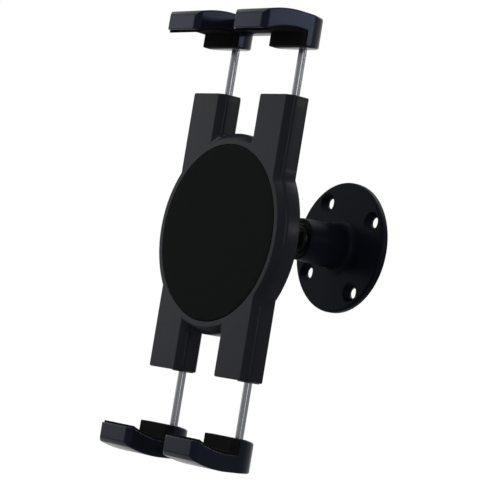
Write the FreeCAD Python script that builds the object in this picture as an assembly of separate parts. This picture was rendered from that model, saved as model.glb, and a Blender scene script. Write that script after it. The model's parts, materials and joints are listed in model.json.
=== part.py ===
import FreeCAD, Part
import math
import os

from FreeCAD import Vector

# Tablet wall mount. Millimetres. The origin is the centre of the flange's back face, on the wall.
# +Z is up, +Y points into the wall, and the holder stands out along -Y.
# The holder is drawn in a frame of its own and moved into place once: y = 0 on its front ring, y back, z = 0 at
# the pad's centre.

# Where the holder stands
stand_off = 70.8            # front ring to wall
holder_drop = 4.7           # pad centre below the ball's axis

# Body of the holder
pad_radius = 38.0
pad_thick = 1.8
pad_proud = 0.2             # the pad stands this far out of the ring
pad_gap = 0.1               # round the pad in its recess
pad_edge = 0.4              # rounded rim of the pad
ring_flat = 2.6             # flat ring outside the pad
edge_chamfer = 2.8          # front edge all round the body
arm_spacing = 46.8          # centre to centre
arm_flat = 17.8             # flat front of an arm
arm_half_length = 60.2
front_depth = 9.7           # the front housing ends here
body_depth = 16.8
rear_taper = 9.0            # each side comes in by this much over the rear housing
wall = 2.2
edge_round = 2.6            # radius between the chamfer and the side

# Rods, bushes, stops and springs
rod_radius = 1.75
rod_depth = 11.7            # rod axis behind the front ring
rod_play = 0.05             # running clearance in a bush
bush_radius = 3.8
bush_length = 4.5
bush_lip = 0.4              # the bush's rim that stands out of the arm's end
bush_lip_radius = 4.6
seat_gap = 0.05             # clearance of a piece that is pressed or glued in
stop_radius = 3.0
stop_length = 2.5
spring_wire = 0.8
spring_radius = 2.6         # centre line of the wire
spring_turns = 7
turn_steps = 12             # straight lengths in one turn of wire
channel_gap = 0.4           # round the spring in its channel
centre_gap = 1.3            # inner end of a rod from the middle of the body, claw closed

# Claws
upper_edge = 85.6           # tablet edge above the pad's centre, as photographed
lower_edge = 88.7           # tablet edge below the pad's centre, as photographed
claw_opening = 24.0         # outward travel of the upper claw from there
claw_closing = 20.0         # inward travel of the upper claw from there
hook_half_width = 11.3      # a hook's back end is a half round of this radius
hook_chamfer = 2.06         # upright front corners of a hook
lip_front = 19.4            # lip's face in front of the ring
lip_thick = 2.4
lip_reach = 1.5             # lip reaches this far past the tablet's edge
lip_height = 5.0            # top of the lip's face outside the tablet's edge
lip_bevel = 1.7             # front corner between the lip's face and the arch
arch_mid = (9.0, 8.8)       # the arch over the tablet's edge: in front of the ring, outside the edge
arch_top = (2.0, 9.4)
arch_rear_height = 9.1
under_mid = (10.0, 0.9)     # hollow underside of the arch, as the arch above
under_back = 1.8
leg_back = 16.8             # back of the leg behind the ring
leg_reach = 4.8             # leg reaches this far past the tablet's edge
leg_slope = 7.0             # the leg's end slopes back from here, behind the ring
leg_lift = 1.4              # to this much less reach at its back
liner_over = 1.0            # rubber shows past the lip
liner_mid = 0.0             # rubber's hollow face outside the tablet's edge, below the middle of the arch
liner_end = 0.8             # and where it meets the rubber on the leg
liner_front = 0.5           # face of the rubber on the leg, behind the ring
liner_leg = 3.5             # rubber on the leg
liner_side = 0.3            # rubber is narrower than the hook on each side
bar_clear = 0.2             # bar between the hooks stands this far off the rubber
bar_low = 1.7
bar_high = 8.6
bar_back = 11.5
bar_round = 1.5
rod_grip = 10.5             # rod goes this far into the claw
claw_screw_radius = 1.5
claw_screw_rise = 1.0       # screw outside the tablet's edge
claw_screw_socket = 0.8
claw_screw_sink = 0.4       # below the leg's rounded back

# Ball joint
ball_radius = 7.0
ball_to_wall = 23.2
swing = 24.0                # the ball turns this far to each side
liner_thick = 0.7
joint_gap = 0.05            # between ball, liner and socket
mouth_angle = 63.0          # half angle of the mouth, seen from the ball's centre
liner_rear_angle = 96.0
neck_radius = 3.0
neck_flare = 6.0            # neck's radius at its foot
neck_flare_length = 5.9
foot_radius = 9.0
foot_thick = 2.4
foot_gap = 0.05
shank_play = 0.06
boss_radius = 12.0
boss_height = 3.0
washer_radius = 7.0
washer_thick = 1.5
nut_flats = 10.0
nut_thick = 5.0
shank_spare = 1.3           # thread past the nut
nut_pocket = 9.5

# Wall base
flange_radius = 29.1
flange_thick = 3.4
flange_round = 1.0
post_mouth_radius = 9.2
post_root_radius = 9.9
post_flare = 2.0            # radius of the curve from the post into the flange
mouth_round = 0.7
hole_circle = 45.9          # pitch circle diameter
hole_count = 4
hole_angle = 32.5
hole_radius = 2.4
sink_radius = 4.4
plug_radius = 9.4
plug_length = 6.0
plug_recess = 1.0
plug_slot = 2.0
plug_nose = 1.2             # the plug reaches this far in front of its thread
cone_washers = 4
cone_rise = 0.55
cone_thick = 0.7

# Housing screws
screw_places = [(12.0, 27.0), (-12.0, 27.0), (12.0, -27.0), (-12.0, -27.0), (31.0, 0.0), (-31.0, 0.0)]
screw_radius = 1.5
screw_head_radius = 2.7
screw_head_thick = 2.0
screw_sink = 3.0            # head's seat below the back face
screw_boss_radius = 3.2
screw_slot = 0.8

# Worked out from the sizes above
disc_radius = pad_radius + ring_flat + edge_chamfer
arm_half = arm_flat / 2 + edge_chamfer
arm_x = arm_spacing / 2
lip_front_face = -lip_front
pad_floor = pad_thick - pad_proud
skin = pad_floor + wall
channel_radius = spring_radius + spring_wire / 2 + channel_gap
lower_opening = claw_opening - (lower_edge - upper_edge)
lower_closing = claw_closing + (lower_edge - upper_edge)
socket_radius = ball_radius + liner_thick + 2 * joint_gap
plug_shoulder = -plug_recess - plug_length
washers_front = plug_shoulder - plug_nose - cone_washers * (cone_thick + cone_rise)
outward = Vector(0, -1, 0)
holder_place = Vector(0, -stand_off, -holder_drop)
ball_centre = Vector(0, -ball_to_wall, 0)
sides = {"left": -1, "right": 1}


def polar(radius, degrees):
    """A point at this angle from -Y round the ball's centre, as (radius from the axis, y)."""
    a = math.radians(degrees)
    return radius * math.sin(a), -ball_to_wall - radius * math.cos(a)


def revolved(edges):
    """Turn a closed outline, drawn with x as radius, once round the Y axis."""
    face = Part.Face(Part.Wire(Part.__sortEdges__(edges)))
    return face.revolve(Vector(0, 0, 0), Vector(0, 1, 0), 360)


def chain(*points):
    """Straight edges through (x, y) points."""
    at = [Vector(x, y, 0) for x, y in points]
    return [Part.LineSegment(a, b).toShape() for a, b in zip(at, at[1:])]


def arc(start, middle, end):
    """One arc through three (x, y) points."""
    return Part.Arc(*[Vector(x, y, 0) for x, y in (start, middle, end)]).toShape()


def turned(points):
    """A solid of revolution round the Y axis from a closed (radius, y) outline."""
    return revolved(chain(*points, points[0]))


def prism(edges, length):
    """A closed outline drawn in x, y, raised along +Z."""
    return Part.Face(Part.Wire(Part.__sortEdges__(edges))).extrude(Vector(0, 0, length))


def across(edges, x, half):
    """A closed side outline, drawn as (y, z), raised along X to this far on both sides of x."""
    shape = prism(edges, 2 * half)
    shape.rotate(Vector(0, 0, 0), Vector(1, 1, 1), 120)
    return shape.translated(Vector(x - half, 0, 0))


def along_y(radius, y0, y1, x=0.0, z=0.0):
    """A round bar or hole along Y."""
    return Part.makeCylinder(radius, y1 - y0, Vector(x, y0, z), Vector(0, 1, 0))


def along_z(radius, z0, z1, x=0.0, y=0.0):
    """A round bar or hole along Z."""
    return Part.makeCylinder(radius, z1 - z0, Vector(x, y, z0), Vector(0, 0, 1))


def block(x0, x1, y0, y1, z0, z1):
    return Part.makeBox(x1 - x0, y1 - y0, z1 - z0, Vector(x0, y0, z0))


def mirrored(shape):
    """The lower end's copy of a piece drawn for the upper end."""
    return shape.mirror(Vector(0, 0, 0), Vector(0, 0, 1))


def inset(depth):
    """How far the rear housing's side has come in at a depth behind the ring."""
    return rear_taper * (depth - front_depth) / (body_depth - front_depth)


def drawn(line, half, side=1):
    """A line or an arc of the side outline, given as (come in, depth) points, at a half width."""
    points = [(side * (half - come_in), y) for come_in, y in line]
    return arc(*points) if len(points) == 3 else chain(*points)[0]


def body_slice(outline):
    """The body between two depths: disc and arms from one side outline, a list of lines from front to back."""
    (start, y0), (end, y1) = outline[0][0], outline[-1][-1]
    disc = revolved([drawn(line, disc_radius) for line in outline]
                    + chain((disc_radius - end, y1), (0, y1), (0, y0), (disc_radius - start, y0)))
    edges = [drawn(line, arm_half, side) for line in outline for side in sides.values()]
    edges += chain((start - arm_half, y0), (arm_half - start, y0)) + chain((end - arm_half, y1), (arm_half - end, y1))
    arm = prism(edges, 2 * arm_half_length)
    body = disc
    for side in sides.values():
        body = body.fuse(arm.translated(Vector(side * arm_x, 0, -arm_half_length)))
    return body.removeSplitter()


def hollow(y0, y1, come_in):
    """The room inside a housing, with the channel walls and the screw bosses left standing."""
    room = along_y(disc_radius - wall - come_in, y0, y1)
    channel_wall = channel_radius + wall
    for side in sides.values():
        x = side * arm_x
        room = room.cut(block(x - channel_wall, x + channel_wall, y0, y1, -disc_radius, disc_radius))
    for x, z in screw_places:
        room = room.cut(along_y(screw_boss_radius, y0, y1, x, z))
    return room


def channels(y0, y1):
    """The two long channels for springs and stops, with the pockets for the bushes at their ends."""
    cut = None
    bush_start = arm_half_length - bush_length - seat_gap
    for side in sides.values():
        x = side * arm_x
        run = along_z(channel_radius, -bush_start, bush_start, x, rod_depth)
        pocket = along_z(bush_radius + seat_gap, -arm_half_length, arm_half_length, x, rod_depth)
        pocket = pocket.cut(block(x - arm_half, x + arm_half, 0, body_depth, -bush_start, bush_start))
        both = run.fuse(pocket)
        cut = both if cut is None else cut.fuse(both)
    return cut.common(block(-disc_radius, disc_radius, y0, y1, -arm_half_length, arm_half_length))


def front_housing():
    """Front half: chamfered front edge, pad recess, and open at the back."""
    reach = edge_round * math.tan(math.radians(22.5))
    slope = reach * math.sqrt(0.5)
    start, end = (slope, edge_chamfer - slope), (0, edge_chamfer + reach)
    middle = (edge_round * (1 - math.cos(math.radians(22.5))), end[1] - edge_round * math.sin(math.radians(22.5)))
    shell = body_slice([[(edge_chamfer, 0), start], [start, middle, end], [end, (0, front_depth)]])
    shell = shell.cut(along_y(pad_radius + pad_gap, 0, pad_floor))
    shell = shell.cut(hollow(skin, front_depth, 0))
    shell = shell.cut(channels(0, front_depth))
    for x, z in screw_places:
        shell = shell.cut(along_y(screw_radius, skin, front_depth, x, z))
    return shell


def rear_housing():
    """Back half: sides that come in towards the back, a boss for the ball stud and seats for the screws."""
    shell = body_slice([[(0, front_depth), (rear_taper, body_depth)]])
    boss = along_y(boss_radius, body_depth - wall, body_depth + boss_height, 0, holder_drop)
    shell = shell.fuse(boss)
    inner = body_depth - wall
    shell = shell.cut(hollow(front_depth, inner, inset(inner)))
    shell = shell.cut(along_y(nut_pocket, front_depth, inner, 0, holder_drop))
    shell = shell.cut(channels(front_depth, body_depth))
    shell = shell.cut(along_y(neck_radius + shank_play, 0, body_depth + boss_height, 0, holder_drop))
    for x, z in screw_places:
        shell = shell.cut(along_y(screw_radius + seat_gap, front_depth, body_depth, x, z))
        shell = shell.cut(along_y(screw_head_radius + seat_gap, body_depth - screw_sink, body_depth, x, z))
    return shell.removeSplitter()


def front_pad():
    """Round rubber pad with a softened rim."""
    pad = along_y(pad_radius, -pad_proud, pad_floor)
    rim = [e for e in pad.Edges if e.BoundBox.YLength < 1e-6 and abs(e.BoundBox.YMin + pad_proud) < 1e-6]
    return pad.makeFillet(pad_edge, rim)


def housing_screws():
    """Slotted screws that close the two housings from behind, one solid each."""
    seat = body_depth - screw_sink
    screws = []
    for x, z in screw_places:
        screw = along_y(screw_radius, skin + wall, seat, x, z)
        screw = screw.fuse(along_y(screw_head_radius, seat, seat + screw_head_thick, x, z))
        slot_top = seat + screw_head_thick
        slot = block(x - screw_head_radius, x + screw_head_radius, slot_top - screw_slot, slot_top,
                     z - screw_slot / 2, z + screw_slot / 2)
        screws.append(screw.cut(slot))
    return Part.Compound(screws)


def rod_bush(x):
    """Guide at the end of an upper arm, with a small rim on the outside."""
    bush = along_z(bush_radius, arm_half_length - bush_length, arm_half_length, x, rod_depth)
    bush = bush.fuse(along_z(bush_lip_radius, arm_half_length, arm_half_length + bush_lip, x, rod_depth))
    bore = along_z(rod_radius + rod_play, 0, arm_half_length + bush_lip, x, rod_depth)
    return bush.cut(bore)


def rod_inner(closing):
    """Height of a rod's inner end in the photographed pose."""
    return centre_gap + closing


def rod(x, edge, closing):
    """Steel rod from its stop to its hole in the claw, with chamfered ends."""
    outer = edge - leg_reach + rod_grip
    bar = along_z(rod_radius, rod_inner(closing), outer, x, rod_depth)
    ends = [e for e in bar.Edges if e.BoundBox.ZLength < 1e-6]
    return bar.makeChamfer(rod_radius / 5, ends)


def rod_stop(x, closing):
    """Collar at the inner end of a rod, which the spring pushes on."""
    low = rod_inner(closing) + rod_radius / 2
    stop = along_z(stop_radius, low, low + stop_length, x, rod_depth)
    return stop.cut(along_z(rod_radius + seat_gap, low, low + stop_length, x, rod_depth))


def claw_spring(x, closing):
    """Square wire wound round a rod between its stop and its bush, as one closed faceted solid."""
    half = spring_wire / 2
    low = rod_inner(closing) + rod_radius / 2 + stop_length + half
    high = arm_half_length - bush_length - half
    steps = spring_turns * turn_steps
    rings = []
    for i in range(steps + 1):
        turn = 2 * math.pi * i / turn_steps
        z = low + (high - low) * i / steps
        ring = []
        for out, up in ((-half, -half), (half, -half), (half, half), (-half, half)):
            r = spring_radius + out
            ring.append(Vector(x + r * math.cos(turn), rod_depth + r * math.sin(turn), z + up))
        rings.append(ring)
    faces = [Part.Face(Part.makePolygon(end + [end[0]])) for end in (rings[0], rings[-1])]
    for a, b in zip(rings, rings[1:]):
        for k in range(4):
            n = (k + 1) % 4
            for corners in ((a[k], a[n], b[n]), (a[k], b[n], b[k])):
                faces.append(Part.Face(Part.makePolygon(list(corners) + [corners[0]])))
    wire = Part.makeSolid(Part.makeShell(faces))
    return wire if wire.Volume > 0 else wire.reversed()


def underside(edge):
    """The arc under a hook's arch, from the lip to the leg, where moulding and rubber meet."""
    return arc((lip_front_face + lip_thick, edge - lip_reach), (-under_mid[0], edge + under_mid[1]),
               (liner_front + liner_leg, edge + under_back))


def hook(x, edge):
    """One hook: its side outline raised across its width, then trimmed by its plan."""
    front, inner, leg_front = lip_front_face, lip_front_face + lip_thick, liner_front + liner_leg
    top = edge + arch_top[1]
    bevel_top = edge + lip_height + lip_bevel
    low = edge - leg_reach
    outline = chain((-arch_top[0], top), (leg_back, edge + arch_rear_height), (leg_back, low + leg_lift),
                    (leg_slope, low), (leg_front, low), (leg_front, edge + under_back))
    outline.append(underside(edge))
    outline += chain((inner, edge - lip_reach), (front, edge - lip_reach), (front, edge + lip_height),
                     (front + lip_bevel, bevel_top))
    outline.append(arc((front + lip_bevel, bevel_top), (-arch_mid[0], edge + arch_mid[1]), (-arch_top[0], top)))
    side = across(outline, x, hook_half_width)
    w, face = hook_half_width, hook_half_width - hook_chamfer
    turn = leg_back - w
    plan = chain((w, turn), (w, front + hook_chamfer), (face, front), (-face, front), (-w, front + hook_chamfer),
                 (-w, turn))
    plan.append(arc((-w, turn), (0, leg_back), (w, turn)))
    trim = prism(plan, 3 * arch_top[1] + leg_reach)
    trim.translate(Vector(x, 0, edge - leg_reach - lip_reach))
    return side.common(trim)


def claw(edge):
    """Two hooks and the bar between them, one moulding, with a blind hole for each rod."""
    bar = block(-arm_x, arm_x, liner_front + liner_leg + bar_clear, bar_back, edge + bar_low, edge + bar_high)
    long_edges = [e for e in bar.Edges if e.BoundBox.XLength > arm_x]
    body = bar.makeFillet(bar_round, long_edges)
    for side in sides.values():
        body = body.fuse(hook(side * arm_x, edge))
    leg_end = edge - leg_reach
    for side in sides.values():
        x = side * arm_x
        body = body.cut(along_z(rod_radius + seat_gap, leg_end, leg_end + rod_grip + seat_gap, x, rod_depth))
        body = body.cut(along_y(claw_screw_radius + seat_gap, rod_depth, leg_back, x, edge + claw_screw_rise))
    return body


def claw_screws(edge):
    """Set screws from behind that bear on the rods, each with a round socket."""
    screws = []
    for side in sides.values():
        x = side * arm_x
        z = edge + claw_screw_rise
        tip = rod_depth + rod_radius + seat_gap
        end = leg_back - claw_screw_sink
        screw = along_y(claw_screw_radius, tip, end, x, z)
        screws.append(screw.cut(along_y(claw_screw_socket, end - claw_screw_socket, end, x, z)))
    return Part.Compound(screws)


def hook_liner(x, edge):
    """Rubber in a hook: inside the lip, under the arch and down the leg, where its front corners are cut off."""
    front = lip_front_face + lip_thick
    back = liner_front + liner_leg
    tip, low = edge - lip_reach - liner_over, edge - leg_reach
    outline = chain((back, edge + under_back), (back, low), (liner_front, low), (liner_front, edge + liner_end))
    outline.append(arc((liner_front, edge + liner_end), (-under_mid[0], edge + liner_mid), (front, tip)))
    outline += chain((front, tip), (front, edge - lip_reach))
    outline.append(underside(edge))
    half = hook_half_width - liner_side
    liner = across(outline, x, half)
    corner = hook_chamfer - liner_side
    for side in sides.values():
        cut = prism(chain((side * half, liner_front), (side * half, liner_front + corner),
                          (side * (half - corner), liner_front), (side * half, liner_front)), leg_reach + liner_end)
        liner = liner.cut(cut.translated(Vector(x, 0, low)))
    return liner


def wall_base():
    """Flange and hollow post, one casting, with a ball seat at the mouth and four countersunk holes."""
    mouth_x, mouth_y = polar(socket_radius, mouth_angle)
    face = -flange_thick
    root_y = face - post_flare
    blend = post_root_radius + post_flare
    lean = math.sqrt(0.5)
    outside = [arc((post_root_radius, root_y), (blend - post_flare * lean, root_y + post_flare * lean), (blend, face))]
    edge_turn = flange_round * (1 - lean)
    outside += chain((blend, face), (flange_radius - flange_round, face))
    outside.append(arc((flange_radius - flange_round, face), (flange_radius - edge_turn, face + edge_turn),
                       (flange_radius, face + flange_round)))
    outside += chain((flange_radius, face + flange_round), (flange_radius, 0), (plug_radius + seat_gap, 0))
    outside += chain((plug_radius + seat_gap, 0), (plug_radius + seat_gap, plug_shoulder),
                     (socket_radius, plug_shoulder), (socket_radius, -ball_to_wall))
    half_way = polar(socket_radius, (mouth_angle + 90) / 2)
    outside.append(arc((socket_radius, -ball_to_wall), half_way, (mouth_x, mouth_y)))
    rim_turn = mouth_round * (1 - lean)
    rim = post_mouth_radius - mouth_round
    outside += chain((mouth_x, mouth_y), (rim, mouth_y))
    outside.append(arc((rim, mouth_y), (post_mouth_radius - rim_turn, mouth_y + rim_turn),
                       (post_mouth_radius, mouth_y + mouth_round)))
    outside += chain((post_mouth_radius, mouth_y + mouth_round), (post_root_radius, root_y))
    base = revolved(outside)
    for i in range(hole_count):
        a = math.radians(hole_angle + 360.0 * i / hole_count)
        x, z = hole_circle / 2 * math.cos(a), hole_circle / 2 * math.sin(a)
        base = base.cut(along_y(hole_radius, face, 0, x, z))
        sink = Part.makeCone(sink_radius, hole_radius, sink_radius - hole_radius, Vector(x, face, z), -outward)
        base = base.cut(sink)
    return base


def ball_liner():
    """Thin sleeve round the ball, open at the mouth and at the back."""
    inner, outer = ball_radius + joint_gap, ball_radius + joint_gap + liner_thick
    middle = (mouth_angle + liner_rear_angle) / 2
    edges = [arc(polar(inner, mouth_angle), polar(inner, middle), polar(inner, liner_rear_angle)),
             arc(polar(outer, mouth_angle), polar(outer, middle), polar(outer, liner_rear_angle))]
    edges += chain(polar(inner, mouth_angle), polar(outer, mouth_angle))
    edges += chain(polar(inner, liner_rear_angle), polar(outer, liner_rear_angle))
    return revolved(edges)


def seat_cup():
    """Plastic cup behind the ball, hollowed to fit it, clear of the liner when that is turned right over."""
    front = polar(ball_radius + joint_gap + liner_thick, liner_rear_angle + swing)[1] + joint_gap
    cup = along_y(socket_radius - joint_gap, front, washers_front)
    return cup.cut(Part.makeSphere(ball_radius + joint_gap, ball_centre))


def spring_washers():
    """Cone washers in pairs, back to back, that press the cup on the ball."""
    washers = []
    outer, inner = socket_radius - joint_gap, neck_radius
    for i in range(cone_washers):
        y = washers_front + i * (cone_thick + cone_rise)
        near, far = (0, cone_rise) if i % 2 == 0 else (cone_rise, 0)
        washers.append(turned([(inner, y + near), (outer, y + far), (outer, y + far + cone_thick),
                               (inner, y + near + cone_thick)]))
    return Part.Compound(washers)


def back_plug():
    """Screwed plug that closes the post from the wall side and bears on the cone washers."""
    back = -plug_recess
    front = plug_shoulder - plug_nose
    plug = turned([(0, front), (socket_radius - joint_gap, front), (socket_radius - joint_gap, plug_shoulder),
                   (plug_radius, plug_shoulder), (plug_radius, back), (0, back)])
    slot = block(-plug_radius, plug_radius, back - plug_slot, back, -plug_slot / 2, plug_slot / 2)
    return plug.cut(slot)


def ball_stud():
    """Ball, neck, foot and threaded shank, one turned piece."""
    ball = Part.makeSphere(ball_radius, ball_centre)
    boss_face = -stand_off + body_depth + boss_height
    foot_low = boss_face + foot_gap
    foot_high = foot_low + foot_thick
    shank_end = -stand_off + body_depth - wall - washer_thick - nut_thick - shank_spare
    turnings = turned([(0, shank_end), (neck_radius, shank_end), (neck_radius, foot_low), (foot_radius, foot_low),
                       (foot_radius, foot_high), (neck_flare, foot_high),
                       (neck_radius, foot_high + neck_flare_length), (neck_radius, -ball_to_wall),
                       (0, -ball_to_wall)])
    return ball.fuse(turnings).removeSplitter()


def stud_washer():
    """Plain washer on the inner face of the rear housing."""
    high = -stand_off + body_depth - wall
    washer = along_y(washer_radius, high - washer_thick, high)
    return washer.cut(along_y(neck_radius + seat_gap, high - washer_thick, high))


def stud_nut():
    """Hexagon nut behind the washer."""
    high = -stand_off + body_depth - wall - washer_thick
    corner = nut_flats / math.sqrt(3)
    points = [(corner * math.cos(math.radians(60 * i)), corner * math.sin(math.radians(60 * i))) for i in range(7)]
    nut = prism(chain(*points), nut_thick)
    nut.rotate(Vector(0, 0, 0), Vector(1, 0, 0), 90)
    nut.translate(Vector(0, high, 0))
    return nut.cut(along_y(neck_radius + seat_gap, high - nut_thick, high))


def build():
    """All nodes by name, in the row's frame."""
    nodes = {}
    holder = {"front_housing": front_housing(), "rear_housing": rear_housing(), "front_pad": front_pad(),
              "housing_screws": housing_screws()}
    holder["upper_claw"] = claw(upper_edge)
    holder["lower_claw"] = mirrored(claw(lower_edge))
    holder["upper_claw_screws"] = claw_screws(upper_edge)
    holder["lower_claw_screws"] = mirrored(claw_screws(lower_edge))
    for name, side in sides.items():
        x = side * arm_x
        for level, edge, closing in (("upper", upper_edge, claw_closing), ("lower", lower_edge, lower_closing)):
            pieces = {"rod": rod(x, edge, closing), "rod_stop": rod_stop(x, closing), "rod_bush": rod_bush(x),
                      "spring": claw_spring(x, closing), "liner": hook_liner(x, edge)}
            for piece, shape in pieces.items():
                holder[f"{level}_{name}_{piece}"] = shape if level == "upper" else mirrored(shape)
    for name, shape in holder.items():
        nodes[name] = shape.translated(holder_place)
    nodes["wall_base"] = wall_base()
    nodes["ball_liner"] = ball_liner()
    nodes["seat_cup"] = seat_cup()
    nodes["spring_washers"] = spring_washers()
    nodes["back_plug"] = back_plug()
    nodes["ball_stud"] = ball_stud()
    nodes["stud_washer"] = stud_washer()
    nodes["stud_nut"] = stud_nut()
    return nodes


os.makedirs("parts", exist_ok=True)
for node, shape in build().items():
    shape.exportStep(f"parts/{node}.step")
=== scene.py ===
import bpy
import bmesh
import json
import math
import numpy as np
from mathutils import Matrix, Vector
from mathutils.geometry import tessellate_polygon


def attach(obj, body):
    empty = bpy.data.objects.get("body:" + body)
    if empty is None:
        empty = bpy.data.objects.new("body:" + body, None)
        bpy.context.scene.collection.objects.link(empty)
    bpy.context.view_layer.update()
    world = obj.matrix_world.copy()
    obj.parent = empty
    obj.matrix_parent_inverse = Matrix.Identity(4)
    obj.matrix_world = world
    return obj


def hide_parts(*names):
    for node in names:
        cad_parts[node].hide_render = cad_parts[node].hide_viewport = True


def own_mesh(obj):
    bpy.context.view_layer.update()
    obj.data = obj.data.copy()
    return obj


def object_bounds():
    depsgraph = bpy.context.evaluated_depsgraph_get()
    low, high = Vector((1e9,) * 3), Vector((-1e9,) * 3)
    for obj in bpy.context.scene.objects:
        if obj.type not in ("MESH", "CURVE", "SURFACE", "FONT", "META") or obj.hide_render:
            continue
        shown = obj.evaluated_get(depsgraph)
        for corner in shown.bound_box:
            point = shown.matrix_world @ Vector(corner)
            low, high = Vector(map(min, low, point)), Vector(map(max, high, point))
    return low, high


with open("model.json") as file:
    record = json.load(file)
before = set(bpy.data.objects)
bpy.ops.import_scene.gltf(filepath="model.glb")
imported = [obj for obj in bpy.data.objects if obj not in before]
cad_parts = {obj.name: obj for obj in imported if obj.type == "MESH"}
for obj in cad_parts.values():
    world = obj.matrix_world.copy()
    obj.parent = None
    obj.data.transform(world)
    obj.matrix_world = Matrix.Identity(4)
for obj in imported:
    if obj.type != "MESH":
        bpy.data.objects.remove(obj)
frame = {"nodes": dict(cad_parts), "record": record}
cadBox = [list(corner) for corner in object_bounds()]
nodes = frame["nodes"]
mm = 0.001
print("frame loaded:", len(nodes), "nodes")


# Colour: sRGB hex to the linear values that the shaders take
def hexColour(text):
    part = np.array([int(text[i:i + 2], 16) for i in (1, 3, 5)]) / 255
    linear = np.where(part <= 0.04045, part / 12.92, ((part + 0.055) / 1.055) ** 2.4)
    return (*linear.tolist(), 1.0)


# One node with its settings and links: kind is Blender's name for it without ShaderNode, and a link is a
# socket and the output that feeds it. Sockets 6 and 7 of a colour Mix are its colours, output 2 is their mix
def addNode(tree, kind, settings=None, links=(), **attributes):
    node = tree.nodes.new("ShaderNode" + kind)
    for name, value in attributes.items():
        setattr(node, name, value)
    for socket, value in (settings or {}).items():
        node.inputs[socket].default_value = value
    for socket, source in links:
        tree.links.new(source, node.inputs[socket])
    return node


# An empty material, its node tree, and the object's own coordinates in metres
def newMaterial(name):
    material = bpy.data.materials.new(name)
    material.use_nodes = True
    tree = material.node_tree
    tree.nodes.clear()
    place = addNode(tree, "TexCoord").outputs["Object"]
    return material, tree, place


# Moulded plastic from a spark-eroded mould: an even dark shade with soft, slightly broken highlights. The
# grain is really near 0.1 mm across, and is drawn at 0.5 mm so that it shows at all. Sizes are in millimetres
mouldedLook = {"cloud": 14, "grain": 0.5, "grainStrength": 0.05, "grainDepth": 0.05,
               "smoother": 0.04, "rougher": 0.06, "ior": 1.5}


def mouldedPlastic(name, shade, worn, rough, gloss, tint="#ffffff"):
    look = mouldedLook
    material, tree, place = newMaterial(name)
    cloud = addNode(tree, "TexNoise", {"Scale": 1 / (look["cloud"] * mm), "Detail": 3.0}, [("Vector", place)])
    grain = addNode(tree, "TexNoise", {"Scale": 1 / (look["grain"] * mm), "Detail": 2.0}, [("Vector", place)])
    mixed = addNode(tree, "Mix", {6: hexColour(shade), 7: hexColour(worn)}, [(0, cloud.outputs["Fac"])],
                    data_type="RGBA")
    spread = addNode(tree, "MapRange",
                     {"To Min": rough - look["smoother"], "To Max": rough + look["rougher"]},
                     [("Value", cloud.outputs["Fac"])])
    bump = addNode(tree, "Bump", {"Strength": look["grainStrength"], "Distance": look["grainDepth"] * mm},
                   [("Height", grain.outputs["Fac"])])
    skin = {"IOR": look["ior"], "Specular IOR Level": gloss, "Specular Tint": hexColour(tint)}
    shader = addNode(tree, "BsdfPrincipled", skin,
                     [("Base Color", mixed.outputs[2]), ("Roughness", spread.outputs[0]),
                      ("Normal", bump.outputs[0])])
    addNode(tree, "OutputMaterial", links=[("Surface", shader.outputs[0])])
    return material


# Sheet and moulded rubber: nearly black and matt, with a fine pebble that scatters the light and a faint
# grey bloom
rubberLook = {"pebble": 0.6, "pebbleStrength": 0.25, "pebbleDepth": 0.05, "bloom": 9,
              "roughness": 0.85, "gloss": 0.03, "ior": 1.52}


def sheetRubber(name, shade, worn):
    look = rubberLook
    material, tree, place = newMaterial(name)
    pebble = addNode(tree, "TexVoronoi", {"Scale": 1 / (look["pebble"] * mm)}, [("Vector", place)])
    bloom = addNode(tree, "TexNoise", {"Scale": 1 / (look["bloom"] * mm), "Detail": 4.0}, [("Vector", place)])
    mixed = addNode(tree, "Mix", {6: hexColour(shade), 7: hexColour(worn)}, [(0, bloom.outputs["Fac"])],
                    data_type="RGBA")
    bump = addNode(tree, "Bump", {"Strength": look["pebbleStrength"], "Distance": look["pebbleDepth"] * mm},
                   [("Height", pebble.outputs["Distance"])])
    skin = {"IOR": look["ior"], "Roughness": look["roughness"], "Specular IOR Level": look["gloss"]}
    shader = addNode(tree, "BsdfPrincipled", skin,
                     [("Base Color", mixed.outputs[2]), ("Normal", bump.outputs[0])])
    addNode(tree, "OutputMaterial", links=[("Surface", shader.outputs[0])])
    return material


# Drawn metal: bright, its highlight broken a little by fine lines that run upright, as the rods do. The lines
# are drawn 0.25 mm apart so that they show at all
metalLook = {"lines": 0.25, "stretch": (1, 1, 0.03), "lineStrength": 0.003, "lineDepth": 0.02,
             "smoother": 0.03, "rougher": 0.05}


def drawnMetal(name, shade, worn, rough):
    look = metalLook
    material, tree, place = newMaterial(name)
    pulled = addNode(tree, "Mapping", {"Scale": look["stretch"]}, [("Vector", place)])
    lines = addNode(tree, "TexNoise", {"Scale": 1 / (look["lines"] * mm), "Detail": 2.0},
                    [("Vector", pulled.outputs[0])])
    mixed = addNode(tree, "Mix", {6: hexColour(shade), 7: hexColour(worn)}, [(0, lines.outputs["Fac"])],
                    data_type="RGBA")
    spread = addNode(tree, "MapRange",
                     {"To Min": rough - look["smoother"], "To Max": rough + look["rougher"]},
                     [("Value", lines.outputs["Fac"])])
    bump = addNode(tree, "Bump", {"Strength": look["lineStrength"], "Distance": look["lineDepth"] * mm},
                   [("Height", lines.outputs["Fac"])])
    shader = addNode(tree, "BsdfPrincipled", {"Metallic": 1.0},
                     [("Base Color", mixed.outputs[2]), ("Roughness", spread.outputs[0]),
                      ("Normal", bump.outputs[0])])
    addNode(tree, "OutputMaterial", links=[("Surface", shader.outputs[0])])
    return material


# Stoved enamel on a zinc casting, or a blackened turning: a smooth black skin whose slow ripple bends the
# highlights a little
enamelLook = {"ripple": 4.0, "rippleStrength": 0.02, "rippleDepth": 0.1, "cloud": 20, "ior": 1.5}


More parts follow.
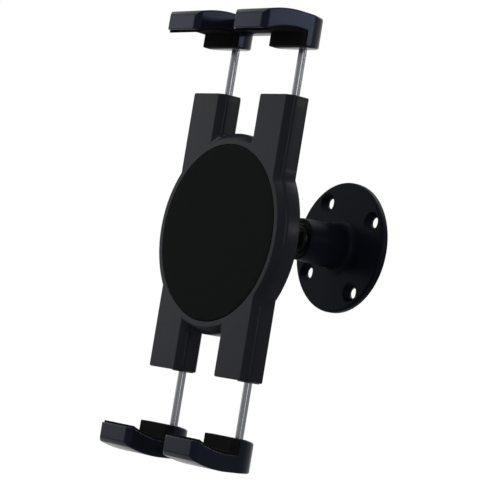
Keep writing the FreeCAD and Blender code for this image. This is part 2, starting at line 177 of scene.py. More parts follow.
def stovedEnamel(name, shade, worn, rough, gloss):
    look = enamelLook
    material, tree, place = newMaterial(name)
    ripple = addNode(tree, "TexNoise", {"Scale": 1 / (look["ripple"] * mm), "Detail": 2.0},
                     [("Vector", place)])
    cloud = addNode(tree, "TexNoise", {"Scale": 1 / (look["cloud"] * mm), "Detail": 3.0}, [("Vector", place)])
    mixed = addNode(tree, "Mix", {6: hexColour(shade), 7: hexColour(worn)}, [(0, cloud.outputs["Fac"])],
                    data_type="RGBA")
    bump = addNode(tree, "Bump", {"Strength": look["rippleStrength"], "Distance": look["rippleDepth"] * mm},
                   [("Height", ripple.outputs["Fac"])])
    skin = {"IOR": look["ior"], "Roughness": rough, "Specular IOR Level": gloss}
    shader = addNode(tree, "BsdfPrincipled", skin,
                     [("Base Color", mixed.outputs[2]), ("Normal", bump.outputs[0])])
    addNode(tree, "OutputMaterial", links=[("Surface", shader.outputs[0])])
    return material


# Finish by the record's slot: a name, two shades that it wanders between, its roughness and its gloss. The
# claws have a cool tint in their highlights, the wall base is satin, and the ball is black with a small,
# sharp highlight
finishes = {
    "body_plastic": mouldedPlastic("Moulded ABS, dark grey", "#16171c", "#1a1b21", rough=0.27, gloss=0.045),
    "claw_plastic": mouldedPlastic("Moulded nylon, blue grey", "#0e1016", "#13151d", rough=0.22, gloss=0.085,
                                   tint="#a9bdf2"),
    "pad_rubber": sheetRubber("Sheet rubber, black", "#0a0b0b", "#0d0e0e"),
    "liner_rubber": sheetRubber("Moulded rubber, black", "#0b0b0c", "#101011"),
    "rod_steel": drawnMetal("Bright drawn steel", "#6e6f72", "#646569", rough=0.16),
    "base_metal": stovedEnamel("Stoved black enamel", "#070b12", "#0a0e16", rough=0.4, gloss=0.02),
    "ball_steel": stovedEnamel("Blackened and polished steel", "#060608", "#09090c", rough=0.26, gloss=0.05),
    "joint_plastic": mouldedPlastic("Black acetal", "#0c0c0d", "#111112", rough=0.34, gloss=0.2),
    "spring_steel": drawnMetal("Spring steel", "#8c8c90", "#77777b", rough=0.28),
    "zinc_steel": drawnMetal("Zinc plated steel", "#a5a8ad", "#8f9297", rough=0.34),
}
for part in frame["record"]["subparts"]:
    node = nodes[part["node"]]
    node.data.materials.clear()
    node.data.materials.append(finishes[part["material_slot"]])
print("finishes set")


# A shell gathers arrays of points and of faces until it becomes a mesh
def newShell():
    return {"points": [], "count": 0, "faces": [], "smooth": []}


def addPoints(shell, points):
    start = shell["count"]
    shell["points"].append(np.reshape(points, (-1, 3)))
    shell["count"] += len(shell["points"][-1])
    return start


def addFaces(shell, faces, smooth):
    shell["faces"].append(faces)
    shell["smooth"].append(np.full(len(faces), smooth))


# Grid of points to quads: face (i, k) joins columns k and k + 1 of rows i and i + 1, and the last column
# joins the first
def addGrid(shell, grid, smooth=True):
    rows, columns = grid.shape[:2]
    start = addPoints(shell, grid)
    k = np.arange(columns)
    n = (k + 1) % columns
    i = start + columns * np.arange(rows - 1)[:, None]
    quads = np.stack([i + k, i + n, i + columns + n, i + columns + k], 2)
    addFaces(shell, quads.reshape(-1, 4), smooth)


# Flat face from one closed outline and the holes in it, cut into triangles between the given points
def addFlat(shell, outline, holes=()):
    loops = [np.asarray(loop, float) for loop in (outline, *holes)]
    start = addPoints(shell, np.concatenate(loops))
    triangles = np.array(tessellate_polygon([loop.tolist() for loop in loops]))
    addFaces(shell, triangles + start, False)


# The shell as an object in metres, moved by shift; points nearer than joinedWithin are joined, slivers go,
# and the faces turn outwards
def makePiece(name, shell, finish, body, replaced, shift=(0, 0, 0)):
    joinedWithin, sliver = 0.002 * mm, 0.0001 * mm
    mesh = bpy.data.meshes.new(name)
    points = (np.concatenate(shell["points"]) + shift) * mm
    faces = [face for part in shell["faces"] for face in part.tolist()]
    mesh.from_pydata(points.tolist(), [], faces)
    mesh.polygons.foreach_set("use_smooth", np.concatenate(shell["smooth"]))
    bm = bmesh.new()
    bm.from_mesh(mesh)
    bmesh.ops.remove_doubles(bm, verts=bm.verts, dist=joinedWithin)
    bmesh.ops.dissolve_degenerate(bm, dist=sliver, edges=bm.edges)
    bmesh.ops.recalc_face_normals(bm, faces=bm.faces)
    bm.to_mesh(mesh)
    bm.free()
    piece = bpy.data.objects.new(name, mesh)
    bpy.context.scene.collection.objects.link(piece)
    mesh.materials.append(finishes[finish])
    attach(piece, body)
    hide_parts(replaced)
    return piece


# Circle's arc as (a, b): centre + radius (cos t, sin t), t in even steps from one angle to the other
def circleArc(centre, radius, start, end, steps):
    t = np.linspace(start, end, steps + 1)
    return np.stack([centre[0] + radius * np.cos(t), centre[1] + radius * np.sin(t)], 1)


# Arc through three points: its centre is as far from all three, which is two linear equations
def arcPoints(start, middle, end, steps=24):
    a, b, c = (np.array(point, float) for point in (start, middle, end))
    centre = np.linalg.solve(2 * np.array([b - a, c - a]), [b @ b - a @ a, c @ c - a @ a])
    first, mid, last = (math.atan2(*(point - centre)[::-1]) for point in (a, b, c))
    sweep = (last - first) % (2 * math.pi)
    if (mid - first) % (2 * math.pi) > sweep:
        sweep -= 2 * math.pi
    return circleArc(centre, np.linalg.norm(a - centre), first, first + sweep, steps)


# Surface of revolution about an axis along Y: point = (centre + r cos u, y, centre + r sin u), one row for
# each (r, y) of the profile
def turnedGrid(profile, centre=(0, 0), steps=96):
    profile = np.asarray(profile, float)
    u = np.linspace(0, 2 * math.pi, steps, endpoint=False)
    r, y = profile[:, :1], np.repeat(profile[:, 1:2], steps, 1)
    return np.stack([centre[0] + r * np.cos(u), y, centre[1] + r * np.sin(u)], 2)


# A line of points with each inner corner C rounded: (1 - t)^2 A + 2 t (1 - t) C + t^2 B, where A and B lie
# on the two sides at this reach from C, or at mostShare of a shorter side
def softened(points, reach, steps=3):
    mostShare = 0.45
    points = [np.asarray(point, float) for point in points]
    t = np.linspace(0, 1, steps + 1)[:, None]
    out = [points[:1]]
    for before, corner, after in zip(points, points[1:], points[2:]):
        sides = (before - corner, after - corner)
        a, b = (corner + side * min(reach / np.linalg.norm(side), mostShare) for side in sides)
        out.append((1 - t) ** 2 * a + 2 * t * (1 - t) * corner + t ** 2 * b)
    return np.concatenate([*out, points[-1:]])


# Holder, in millimetres: y = 0 on its front ring and grows towards the wall, z = 0 at the pad's centre. From
# the ring to the wall is standOff, and the pad's centre is this drop below the ball. A lead is how far
# outside its first corner a line starts, and a soft how much its corners are rounded
bodySizes = {"standOff": 70.8, "drop": 4.7,
             "discRadius": 43.4, "armHalf": 11.7, "armX": 23.4, "armEnd": 60.2, "armCorner": 0.8,
             "chamfer": 2.8, "edgeRound": 2.6, "soft": 0.35, "lead": 1.0,
             "frontDepth": 9.7, "depth": 16.8, "taper": 9.0, "rearSoft": 0.5,
             "grooveDeep": 0.3, "grooveWide": 0.12, "grooveSoft": 0.15, "seam": 0.02,
             "recess": 38.1, "recessDepth": 1.6, "recessSoft": 0.3,
             "boss": 12.0, "bossHeight": 3.0, "bossLead": 1.2, "neckBore": 3.06,
             "screws": [(12, 27), (-12, 27), (12, -27), (-12, -27), (31, 0), (-31, 0)],
             "screwSeat": 2.75, "screwSink": 3.0, "seatLead": 0.4, "seatSoft": 0.2}
toHolder = (0, -bodySizes["standOff"], -bodySizes["drop"])


# Outline of the body with its edge moved in: a circle with two arms up and two down. One quarter runs circle,
# arm side, arm end, arm side, circle, and is mirrored to the other three
def bodyOutline(comeIn, endIn):
    size = bodySizes
    radius, end, turn = size["discRadius"] - comeIn, size["armEnd"] - endIn, size["armCorner"]
    outer, inner = size["armX"] + size["armHalf"] - comeIn, size["armX"] - size["armHalf"] + comeIn
    low, high = math.acos(outer / radius), math.acos(inner / radius)  # where the disc meets an arm's sides
    along = np.linspace(0, 1, 9)[1:, None]
    outerSide = (outer, radius * math.sin(low)) + along * (0, end - turn - radius * math.sin(low))
    innerSide = (inner, end - turn) + along * (0, radius * math.sin(high) - end + turn)
    quarter = np.concatenate([circleArc((0, 0), radius, 0, low, steps=12), outerSide,
                              circleArc((outer - turn, end - turn), turn, 0, math.pi / 2, steps=4)[1:],
                              circleArc((inner + turn, end - turn), turn, math.pi / 2, math.pi, steps=4),
                              innerSide, circleArc((0, 0), radius, high, math.pi / 2, steps=8)[1:]])
    half = np.concatenate([quarter, (quarter * (-1, 1))[-2::-1]])
    return np.concatenate([half, (half * (1, -1))[-2:0:-1]])


# The outline at each station (come in, y, arm end come in), one row a station
def bodyGrid(stations):
    outlines = np.array([bodyOutline(comeIn, endIn) for comeIn, y, endIn in stations])
    depth = np.repeat(np.asarray(stations)[:, 1:2], outlines.shape[1], 1)
    return np.stack([outlines[..., 0], depth, outlines[..., 1]], 2)


# Front housing: the outline carried back along (come in, y), which is a 45 degree chamfer, a round into the
# side and a fine groove where the halves meet; the pad's recess is turned
def frontHousing():
    size = bodySizes
    shell = newShell()
    chamfer, turn, join = size["chamfer"], size["edgeRound"], size["frontDepth"]
    reach = turn * math.tan(math.pi / 8)  # from the corner of chamfer and side to either end of its round
    slope = reach * math.sqrt(0.5)  # the same along the chamfer, as far in as back
    side = chamfer + reach
    bend = circleArc((turn, side), turn, 1.25 * math.pi, math.pi, steps=6)
    edge = softened([(chamfer + size["lead"], 0), (chamfer, 0), (slope, chamfer - slope)], size["soft"])
    groove = softened([(0, side), (0, join - size["grooveWide"]), (size["grooveDeep"], join - size["seam"])],
                      size["grooveSoft"])
    profile = np.concatenate([edge[1:-1], bend, groove[1:]])
    body = bodyGrid([(comeIn, y, max(0.0, size["soft"] - y)) for comeIn, y in profile])
    hollow = size["recess"]
    rim = softened([(hollow + size["lead"], 0), (hollow, 0), (hollow, size["recessDepth"])],
                   size["recessSoft"])
    recess = turnedGrid(rim[1:])
    addGrid(shell, body)
    addGrid(shell, recess)
    addFlat(shell, body[0], [recess[0]])
    addFlat(shell, recess[-1])
    addFlat(shell, body[-1])
    return shell


# Rear housing: the outline comes in to the back face; the boss and the screws' seats are turned
def rearHousing():
    size = bodySizes
    shell = newShell()
    join, back, top = size["frontDepth"], size["depth"], size["depth"] + size["bossHeight"]
    line = softened([(size["grooveDeep"], join + size["seam"]), (0, join + size["grooveWide"]),
                     (size["taper"], back), (size["taper"] + size["lead"], back)], size["rearSoft"])
    body = bodyGrid([(comeIn, y, 0.0) for comeIn, y in line[:-1]])
    boss = softened([(size["boss"] + size["bossLead"], back), (size["boss"], back), (size["boss"], top),
                     (size["neckBore"], top), (size["neckBore"], back), (0, back)], size["rearSoft"])
    seat, sink = size["screwSeat"], back - size["screwSink"]
    hollow = softened([(seat + size["seatLead"], back), (seat, back), (seat, sink), (0, sink)],
                      size["seatSoft"])
    turned = [turnedGrid(boss, (0, size["drop"]))]
    turned += [turnedGrid(hollow, place, steps=48) for place in size["screws"]]
    for grid in (body, *turned):
        addGrid(shell, grid)
    addFlat(shell, body[0])
    addFlat(shell, body[-1], [grid[0] for grid in turned])
    return shell


padSizes = {"radius": 38.0, "front": -0.2, "crown": 0.1, "back": 1.6, "rim": 0.7}


# Pad: turned disc, its face y = front + crown (r / radius)^4, its rim rounded over
def frontPad():
    size = padSizes
    shell = newShell()
    r = np.linspace(0, size["radius"], 12)
    face = np.stack([r, size["front"] + size["crown"] * (r / size["radius"]) ** 4], 1)
    rim = softened([face[-2], face[-1], (size["radius"], size["back"]), (0, size["back"])],
                   size["rim"], steps=5)
    addGrid(shell, turnedGrid(np.concatenate([face[:-1], rim[1:]])))
    return shell


makePiece("front_housing_shell", frontHousing(), "body_plastic", "holder", "front_housing", toHolder)
makePiece("rear_housing_shell", rearHousing(), "body_plastic", "holder", "rear_housing", toHolder)
makePiece("front_pad_sheet", frontPad(), "pad_rubber", "holder", "front_pad", toHolder)
print("housings and pad made")

# Claws, in the holder's millimetres. A claw's heights count outwards from its edge, the line that its rubbers
# grip. Closing is how far it can move in from rest, and travel the longer of its two ways
claws = {"upper": {"edge": 85.6, "sign": 1, "closing": 20.0, "travel": 24.0},
         "lower": {"edge": 88.7, "sign": -1, "closing": 23.1, "travel": 23.1}}


# Rounded rectangle from low to high by -half to half, as a ring of points: each corner is a quarter circle
# about its own centre, whose radius stays under half of either side, and a few points on the upright sides
# keep the shading even
def roundedRing(half, low, high, radius, steps=4):
    radius = max(0.0, min(radius, 0.98 * half, 0.49 * (high - low)))
    x, top, foot = half - radius, high - radius, low + radius
    quarters = [circleArc(centre, radius, k * math.pi / 2, (k + 1) * math.pi / 2, steps)
                for k, centre in enumerate(((x, top), (-x, top), (-x, foot), (x, foot)))]
    side = (-half, top) + np.array([0.04, 0.3, 0.7, 0.96])[:, None] * (0, foot - top)
    return np.concatenate([*quarters[:2], side, *quarters[2:], side[::-1] * (-1, 1)])


# Rounded rectangles along Y, one row for each y, with its half width, low, high and radius, closed at both
# ends
def addSections(shell, x, claw, y, half, low, high, radius):
    stations = np.stack(np.broadcast_arrays(y, half, low, high, radius), 1)
    rings = np.array([roundedRing(*station[1:]) for station in stations])
    depth = np.repeat(stations[:, :1], rings.shape[1], 1)
    grid = np.stack([x + rings[..., 0], depth, claw["sign"] * (claw["edge"] + rings[..., 1])], 2)
    addGrid(shell, grid)
    addFlat(shell, grid[0])
    if stations[-1, 1] > 0.001:  # the last row of a hook has no width, and closes by itself
        addFlat(shell, grid[-1])


# Pairs are points as (y, height). Rows are places along y where a hook's section changes, but the rows of its
# tail follow the half round back, from the angle tailStart on
hookSizes = {"halfWidth": 11.3, "front": -19.4, "back": 16.8, "chamfer": 2.06, "soft": 0.45,
             "inner": -17.0, "lipReach": 1.5, "lipHeight": 5.0, "bevel": 1.7,
             "archMid": (-9.0, 8.8), "archTop": (-2.0, 9.4), "underMid": (-10.0, 0.9), "underBack": 1.8,
             "legFront": 4.0, "legReach": 4.8, "legSlope": 7.0, "legLift": 1.4,
             "rearHeight": 9.1, "rearSoft": 0.5, "rearRun": 3.0, "tailStart": 0.26,
             "rows": [-18.6, -18.0, -17.75, -17.6, -17.4, -17.25, -17.0, -16.6, *range(-16, 5),
                      4.2, 6.2, 7.0, 7.8]}


# Underside of a hook's arch, where moulding and rubber meet
def archUnder():
    size = hookSizes
    start, end = (size["inner"], -size["lipReach"]), (size["legFront"], size["underBack"])
    return arcPoints(start, size["underMid"], end)


# Hook: half width by y is the plan, with chamfered front corners and a half round back; low and high by y
# are the side view, with lip, bevel, arch over and under, and leg
def addHook(shell, x, claw):
    size, front, soft, wide = hookSizes, hookSizes["front"], hookSizes["soft"], hookSizes["halfWidth"]
    turn = size["back"] - wide
    t = np.linspace(0, math.pi / 2, 5)
    nose = front + soft * (1 - np.cos(t))
    tail = turn + wide * np.sin(np.linspace(size["tailStart"], math.pi / 2, 18))
    y = np.concatenate([nose, size["rows"], [turn], tail])
    inset = np.zeros(len(y))
    inset[:len(t)] = soft * (1 - np.sin(t))
    order = np.argsort(y, kind="stable")
    y, inset = y[order], inset[order]
    start = (front + size["bevel"], size["lipHeight"] + size["bevel"])
    over = arcPoints(start, size["archMid"], size["archTop"])
    top = np.concatenate([[(front, size["lipHeight"])], over, [(size["back"], size["rearHeight"])]])
    under = archUnder()
    high = np.interp(y, top[:, 0], top[:, 1])
    leg = np.interp(y, (size["legSlope"], size["back"]),
                    (-size["legReach"], size["legLift"] - size["legReach"]))
    low = np.where(y > size["legFront"], leg, np.interp(y, under[:, 0], under[:, 1]))
    chamfered = np.minimum(wide, wide - size["chamfer"] + y - front)
    rear = np.sqrt(np.maximum(0, wide ** 2 - np.maximum(0, y - turn) ** 2))
    radius = soft + size["rearSoft"] * np.clip((y - turn) / size["rearRun"], 0, 1)
    addSections(shell, x, claw, y, np.minimum(chamfered, rear) - inset, low + inset, high - inset, radius)


barSizes = {"half": 14.0, "front": 4.2, "back": 11.5, "low": 1.7, "high": 8.6, "round": 1.5}


# Bar between the hooks: one rounded rectangle drawn out along X
def addBar(shell, claw):
    size = barSizes
    half, middle = (size["back"] - size["front"]) / 2, (size["back"] + size["front"]) / 2
    section = roundedRing(half, size["low"], size["high"], size["round"], steps=6)
    x = np.linspace(-size["half"], size["half"], 9)[:, None]
    y, z = middle + section[:, 0], claw["sign"] * (claw["edge"] + section[:, 1])
    grid = np.stack(np.broadcast_arrays(x, y, z), 2)
    addGrid(shell, grid)
    addFlat(shell, grid[0])
    addFlat(shell, grid[-1])


# Rubber: side is how far it stays in from the hook's sides, over how far its tip hangs past the lip, mid and
# end the heights of its lower arc, and lap how far the block on the leg runs up into the web
linerSizes = {"side": 0.3, "over": 1.0, "mid": 0.0, "end": 0.8, "front": 0.5, "lap": 0.4,
              "soft": 0.3, "webInset": 0.7, "blockInset": 0.8,
              "webRows": [-17.0, -16.9, -16.7, -16.4, *range(-16, 5)],
              "blockRows": [0.5, 0.6, 0.8, 1.4, 2.16, 2.41, 4.0]}


# Rubber in a hook: a web between the arch's underside and a flatter arc, and a block on the leg with its
# front corners cut off
def addLiner(shell, x, claw):
    size, hook, soft = linerSizes, hookSizes, linerSizes["soft"]
    half = hook["halfWidth"] - size["side"]
    tip = -hook["lipReach"] - size["over"]
    under = arcPoints((hook["inner"], tip), (hook["underMid"][0], size["mid"]), (size["front"], size["end"]))
    over = archUnder()
    y = np.array(size["webRows"], float)
    inset = size["webInset"] * np.maximum(0, soft - (y - hook["inner"]))
    low, high = np.interp(y, under[:, 0], under[:, 1]) + inset, np.interp(y, over[:, 0], over[:, 1])
    addSections(shell, x, claw, y, half, low, high, soft)
    y = np.array(size["blockRows"])
    inset = size["blockInset"] * np.maximum(0, soft - (y - size["front"]))
    corner = hook["chamfer"] - size["side"]
    chamfered = np.minimum(half, half - corner + y - size["front"])
    low, high = inset - hook["legReach"], size["end"] + size["lap"]
    addSections(shell, x, claw, y, chamfered - inset, low, high, soft)


# Rise is the screw's height over the claw's edge, and land the flat ring round its socket
setScrewSizes = {"radius": 1.5, "rise": 1.0, "tip": 14.0, "proud": 0.03, "soft": 0.12,
                 "socket": 0.75, "land": 0.3, "deep": 0.9, "steps": 24}


# Set screw in the back of a hook: a turned profile, and a six-sided socket whose distance from the axis is
# the half width over flats divided by the cosine of the angle from the middle of a flat
def addSetScrew(shell, x, claw):
    size, steps = setScrewSizes, setScrewSizes["steps"]
    end = hookSizes["back"] + size["proud"]
    centre = (x, claw["sign"] * (claw["edge"] + size["rise"]))
    land, bottom = size["socket"] + size["land"], end - size["deep"]
    profile = [(0, size["tip"]), (size["radius"], size["tip"]), (size["radius"], end), (land, end)]
    addGrid(shell, turnedGrid(softened(profile, size["soft"]), centre, steps))
    u = np.linspace(0, 2 * math.pi, steps, endpoint=False)
    flats = size["socket"] / np.cos((u + math.pi / 6) % (math.pi / 3) - math.pi / 6)
    r = np.stack(np.broadcast_arrays(land, flats, flats, 0))
    y = np.repeat([[end], [end], [bottom], [bottom]], steps, 1)
    addGrid(shell, np.stack([centre[0] + r * np.cos(u), y, centre[1] + r * np.sin(u)], 2), smooth=False)


# A spring stands between its rod's stop and the bush at the arm's end. Stop is where the rod's stop is when
# the claw is fully closed, and spare is what keeps the wire clear of it at the end of the travel
springSizes = {"wire": 0.8, "radius": 2.6, "turns": 7, "depth": 11.7, "stop": 4.675, "bush": 55.7,
               "steps": 24, "roundSteps": 8, "spare": 0.2}


# Claw spring: a round wire carried along a helix: point = axis + (R + r cos v) (cos u, sin u) across and
# height + r sin v along, the height rising evenly with the turn u
def addSpring(shell, x, claw):
    size = springSizes
    r = size["wire"] / 2
    low, high = size["stop"] + claw["closing"] + r, size["bush"] - r
    u = np.linspace(0, 2 * math.pi * size["turns"], size["turns"] * size["steps"] + 1)[:, None]
    v = np.linspace(0, 2 * math.pi, size["roundSteps"], endpoint=False)
    across = size["radius"] + r * np.cos(v)
    height = low + (high - low) * u / u[-1] + r * np.sin(v)
    grid = np.stack([x + across * np.cos(u), size["depth"] + across * np.sin(u), claw["sign"] * height], 2)
    addGrid(shell, grid)
    addFlat(shell, grid[0])
    addFlat(shell, grid[-1])


for level, claw in claws.items():
    body = f"{level}_claw"  # its moulding's node has the same name
    moulding, screws = newShell(), newShell()
    for side in (-1, 1):
        addHook(moulding, side * bodySizes["armX"], claw)
        addSetScrew(screws, side * bodySizes["armX"], claw)
    addBar(moulding, claw)
    makePiece(f"{level}_claw_moulding", moulding, "claw_plastic", body, body, toHolder)
    makePiece(f"{level}_claw_set_screws", screws, "zinc_steel", body, f"{level}_claw_screws", toHolder)
    # Each side's rubber rides with its claw, and its spring stays on the holder with a mesh of its own
    for side, word in ((-1, "left"), (1, "right")):
        x, arm = side * bodySizes["armX"], f"{level}_{word}"
        rubber, wire = newShell(), newShell()
        addLiner(rubber, x, claw)
        makePiece(f"{arm}_hook_rubber", rubber, "liner_rubber", body, f"{arm}_liner", toHolder)
        addSpring(wire, x, claw)
        spring = makePiece(f"{arm}_spring_wire", wire, "spring_steel", "holder", f"{arm}_spring", toHolder)
        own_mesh(spring)
print("claws made")

# Ball stud and wall base, in millimetres from the wall face, which is y = 0; the room is in front, so y is
# negative there. The ball's surface ends neckShort degrees before the neck, and the corner between them lies
# neckOut further along
ballSizes = {"radius": 7.0, "toWall": 23.2, "neck": 3.0, "neckShort": 4.0, "neckOut": 0.5,
             "flare": 6.0, "flareLength": 5.9, "foot": 9.0, "footThick": 2.4, "footGap": 0.05,
             "shank": 12.0, "soft": 0.8}


# Points at these angles from -Y round the ball's centre, as (r, y)
def fromBall(radius, degrees):
    a = np.radians(degrees)
    return np.stack([radius * np.sin(a), -ballSizes["toWall"] - radius * np.cos(a)], -1)


# Ball stud: ball, neck, flared foot and shank as one turned profile
def ballStud():
    size = ballSizes
    shell = newShell()
    low = -bodySizes["standOff"] + bodySizes["depth"] + bodySizes["bossHeight"] + size["footGap"]
    high, end = low + size["footThick"], low - size["shank"]
    neckAngle = math.degrees(math.asin(size["neck"] / size["radius"]))
    ball = fromBall(size["radius"], np.linspace(180, neckAngle + size["neckShort"], 40))
    neck = fromBall(size["radius"], neckAngle) - (0, size["neckOut"])
    line = softened([ball[-1], neck, (size["neck"], high + size["flareLength"]), (size["flare"], high),
                     (size["foot"], high), (size["foot"], low), (size["neck"], low), (size["neck"], end),
                     (0, end)], size["soft"], steps=5)
    addGrid(shell, turnedGrid(np.concatenate([ball, line[1:]]), steps=72))
    return shell


baseSizes = {"flange": 29.1, "thick": 3.4, "edgeRound": 1.2, "edgeLead": 3.0, "wallChamfer": 0.3,
             "root": 9.9, "rootRound": 3.0, "mouth": 9.2, "mouthRound": 0.9, "mouthAngle": 63.0,
             "socket": 7.8, "plug": 9.45, "plugShoulder": -7.0, "plugSoft": 0.2,
             "holeCircle": 45.9, "holes": 4, "holeAngle": 32.5, "hole": 2.4,
             "sink": 4.4, "sinkLead": 0.3, "sinkSoft": 0.25}


# Flange and post: a turned profile, with the flange's two flat faces drawn between rings round their holes
def wallBase():
    size = baseSizes
    shell = newShell()
    face, root, bend = -size["thick"], size["root"], size["rootRound"]
    plug, shoulder, socket = size["plug"], size["plugShoulder"], size["socket"]
    mouth = fromBall(socket, size["mouthAngle"])
    seat = fromBall(socket, np.linspace(90, size["mouthAngle"], 9))
    inside = softened([(plug, 0), (plug, shoulder), (socket, shoulder), (socket, -ballSizes["toWall"])],
                      size["plugSoft"])
    rim = softened([mouth, (size["mouth"], mouth[1]), (root, face - bend)], size["mouthRound"], steps=6)
    foot = circleArc((root + bend, face - bend), bend, math.pi, math.pi / 2, steps=8)
    post = turnedGrid(np.concatenate([inside[:-1], seat, rim[1:-1], foot]))
    flange, cut = size["flange"], size["wallChamfer"]
    rolled = [(flange - size["edgeLead"], face), (flange, face), (flange, -cut), (flange - cut, 0)]
    edge = turnedGrid(softened(rolled, size["edgeRound"], steps=6)[1:])
    hole, sink, turn = size["hole"], size["sink"], size["holeAngle"]
    centres = circleArc((0, 0), size["holeCircle"] / 2, math.radians(turn),
                        math.radians(turn + 360 - 360 / size["holes"]), size["holes"] - 1)
    profile = softened([(sink + size["sinkLead"], face), (sink, face), (hole, face + sink - hole), (hole, 0)],
                       size["sinkSoft"])
    sinks = [turnedGrid(profile, centre, steps=48) for centre in centres]
    for grid in (post, edge, *sinks):
        addGrid(shell, grid)
    addFlat(shell, edge[0], [post[-1], *(grid[0] for grid in sinks)])
    addFlat(shell, edge[-1], [post[0], *(grid[-1] for grid in sinks)])
    return shell


makePiece("wall_base_casting", wallBase(), "base_metal", "wall_base", "wall_base")
makePiece("ball_stud_turning", ballStud(), "ball_steel", "ball_stud", "ball_stud")
print("wall base and ball stud made")

# The photograph's camera, from lines of the object: its place in metres, direction and lens
cameraSet = {"place": (0.7958, -0.6636, -0.0621), "forward": (-0.7930, 0.6066, 0.0566),
             "up": (-0.0546, -0.1633, 0.9851), "lens": 171.87, "sensor": 36.0,
             "nearest": 0.05, "furthest": 50}


# A camera looks along its own -Z with Y up, so its axes are right, up and the way back
def placeCamera(setting):
    camera = bpy.data.cameras.new("Camera")
    camera.lens, camera.sensor_width = setting["lens"], setting["sensor"]
    camera.clip_start, camera.clip_end = setting["nearest"], setting["furthest"]
    holder = bpy.data.objects.new("Camera", camera)
    forward, up = Vector(setting["forward"]).normalized(), Vector(setting["up"])
    right = forward.cross(up).normalized()
    turned = Matrix((right, right.cross(forward), -forward)).transposed().to_4x4()
    holder.matrix_world = Matrix.Translation(setting["place"]) @ turned
    bpy.context.scene.collection.objects.link(holder)
    bpy.context.scene.camera = holder


placeCamera(cameraSet)

# Soft boxes by direction from the object, in degrees and metres: azimuth 0 is straight in front of it, and
# 90 on its right. The key lights it, top adds to its upper faces and back to the wall side. Its flat fronts
# mirror the sheen box to the camera, its rounded edges the band, and the upper hooks' right sides rightRear
lamps = {
    "key": {"azimuth": -30, "elevation": 42, "distance": 1.3, "size": (0.6, 0.6), "power": 12.5},
    "sheen": {"azimuth": -56, "elevation": 6, "distance": 1.3, "size": (0.36, 0.52), "power": 1.6},
    "band": {"azimuth": 70, "elevation": 13, "distance": 1.3, "size": (0.3, 0.8), "power": 4.2},
    "rightRear": {"azimuth": 128, "elevation": 13.5, "distance": 1.3, "size": (0.34, 0.1), "power": 2.0},
    "top": {"azimuth": 23, "elevation": 55, "distance": 1.4, "size": (0.5, 0.6), "power": 3.2},
    "back": {"azimuth": 185, "elevation": 42, "distance": 1.4, "size": (0.9, 0.9), "power": 11},
}


# A lamp shines along its own -Z, so its Z points away from the object
def softBox(name, setting):
    light = bpy.data.lights.new(name, "AREA")
    light.shape, light.energy = "RECTANGLE", setting["power"]
    light.size, light.size_y = setting["size"]
    a, e = math.radians(setting["azimuth"]), math.radians(setting["elevation"])
    back = Vector((math.sin(a) * math.cos(e), -math.cos(a) * math.cos(e), math.sin(e)))
    turned = back.to_track_quat("Z", "Y").to_matrix().to_4x4()
    lamp = bpy.data.objects.new(name, light)
    lamp.matrix_world = Matrix.Translation(back * setting["distance"]) @ turned
    bpy.context.scene.collection.objects.link(lamp)


for lampName, lampSetting in lamps.items():
    softBox(lampName, lampSetting)

# Surround and floor, in metres. The surround is white to look at and lights the object by this strength only.
# The floor lies well below the object and fades to white between two distances, from fadeLeast up
studio = {"surround": 0.12, "floorDrop": 0.5, "floorSize": 8.0, "floorShade": "#f2f2f2",
          "fadeFrom": 0.6, "fadeTo": 2.2, "fadeLeast": 0.45}


# 1 for rays of the camera, of gloss and of glass, which see white, and 0 for the rest
def seesWhite(tree):
    rays = addNode(tree, "LightPath").outputs
    first = addNode(tree, "Math", links=[(0, rays["Is Camera Ray"]), (1, rays["Is Glossy Ray"])],
                    operation="MAXIMUM")
    either = addNode(tree, "Math", links=[(0, first.outputs[0]), (1, rays["Is Transmission Ray"])],
                     operation="MAXIMUM")
    return either.outputs[0]


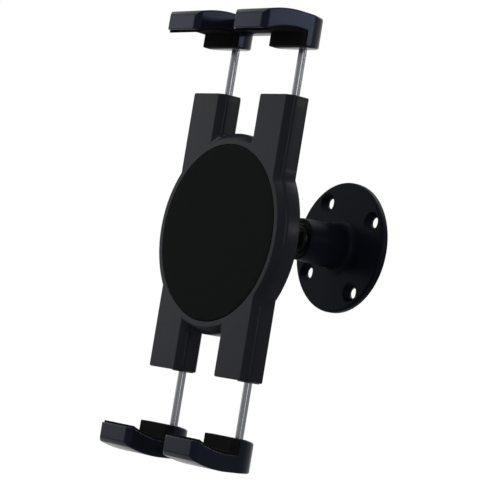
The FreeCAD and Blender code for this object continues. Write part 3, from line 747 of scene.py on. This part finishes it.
def makeSurround(setting):
    world = bpy.data.worlds.new("Surround")
    world.use_nodes = True
    tree = world.node_tree
    tree.nodes.clear()
    strength = addNode(tree, "MapRange", {"To Min": setting["surround"], "To Max": 1.0},
                       [("Value", seesWhite(tree))])
    background = addNode(tree, "Background", {"Color": (1, 1, 1, 1)}, [("Strength", strength.outputs[0])])
    addNode(tree, "OutputWorld", links=[("Surface", background.outputs[0])])
    bpy.context.scene.world = world


# Floor: matt pale paper that takes the object's shadow, white further out and clear from below
def makeFloor(setting, lowest):
    half, z = setting["floorSize"] / 2, lowest - setting["floorDrop"]
    mesh = bpy.data.meshes.new("Floor")
    corners = [(-half, -half, z), (half, -half, z), (half, half, z), (-half, half, z)]
    mesh.from_pydata(corners, [], [(0, 1, 2, 3)])
    floor = bpy.data.objects.new("Floor", mesh)
    bpy.context.scene.collection.objects.link(floor)
    material, tree, place = newMaterial("Floor paper")
    paper = addNode(tree, "BsdfDiffuse", {"Color": hexColour(setting["floorShade"])})
    white = addNode(tree, "Emission", {"Color": (1, 1, 1, 1)})
    level = addNode(tree, "VectorMath", {1: (1, 1, 0)}, [(0, place)], operation="MULTIPLY")
    reach = addNode(tree, "VectorMath", links=[(0, level.outputs[0])], operation="LENGTH")
    fadeRange = {"From Min": setting["fadeFrom"], "From Max": setting["fadeTo"],
                 "To Min": setting["fadeLeast"]}
    fade = addNode(tree, "MapRange", fadeRange, [("Value", reach.outputs["Value"])],
                   interpolation_type="SMOOTHSTEP")
    share = addNode(tree, "Math", links=[(0, fade.outputs[0]), (1, seesWhite(tree))], operation="MULTIPLY")
    above = addNode(tree, "MixShader",
                    links=[(0, share.outputs[0]), (1, paper.outputs[0]), (2, white.outputs[0])])
    clear = addNode(tree, "BsdfTransparent")
    below = addNode(tree, "NewGeometry").outputs["Backfacing"]
    shader = addNode(tree, "MixShader", links=[(0, below), (1, above.outputs[0]), (2, clear.outputs[0])])
    addNode(tree, "OutputMaterial", links=[("Surface", shader.outputs[0])])
    mesh.materials.append(material)


makeSurround(studio)
makeFloor(studio, cadBox[0][2])
bpy.context.scene.view_settings.view_transform = "Standard"
print("studio set")
